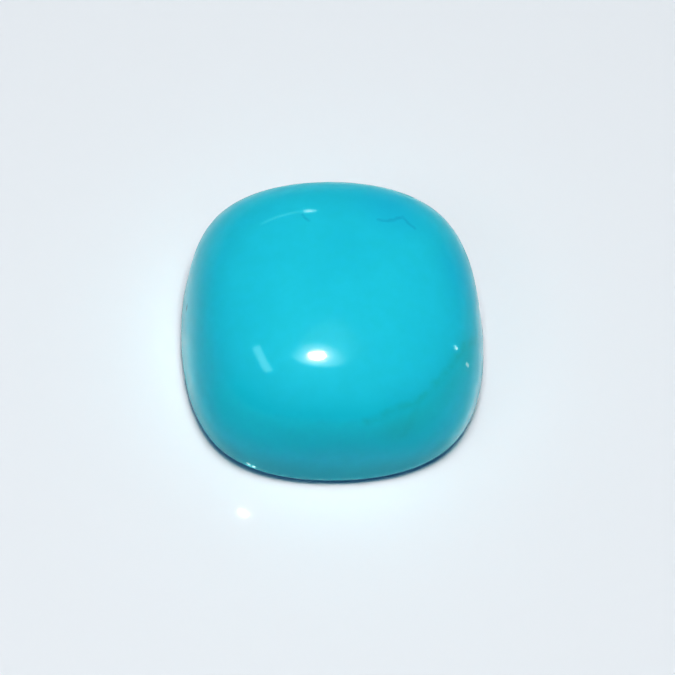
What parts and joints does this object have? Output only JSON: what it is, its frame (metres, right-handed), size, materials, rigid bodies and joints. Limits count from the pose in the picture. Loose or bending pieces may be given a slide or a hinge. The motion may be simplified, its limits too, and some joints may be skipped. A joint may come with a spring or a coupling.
{
  "type": "polished turquoise cushion cabochon",
  "caption": "Polished turquoise stone cut as a rounded-square cushion: a high smooth dome on a flat ground back, for setting or loose display.",
  "frame": {"origin": "centre of the stone's footprint, on the surface it stands on", "axes": "+Z out of the top of the dome, away from the flat back; X and Y square to the stone's four sides"},
  "size_m": [0.0142, 0.014, 0.0073],
  "materials": {
    "polished_turquoise": "polished"
  },
  "bodies": {
    "root": {"turquoise_cabochon": "polished_turquoise"}
  },
  "joints": []
}
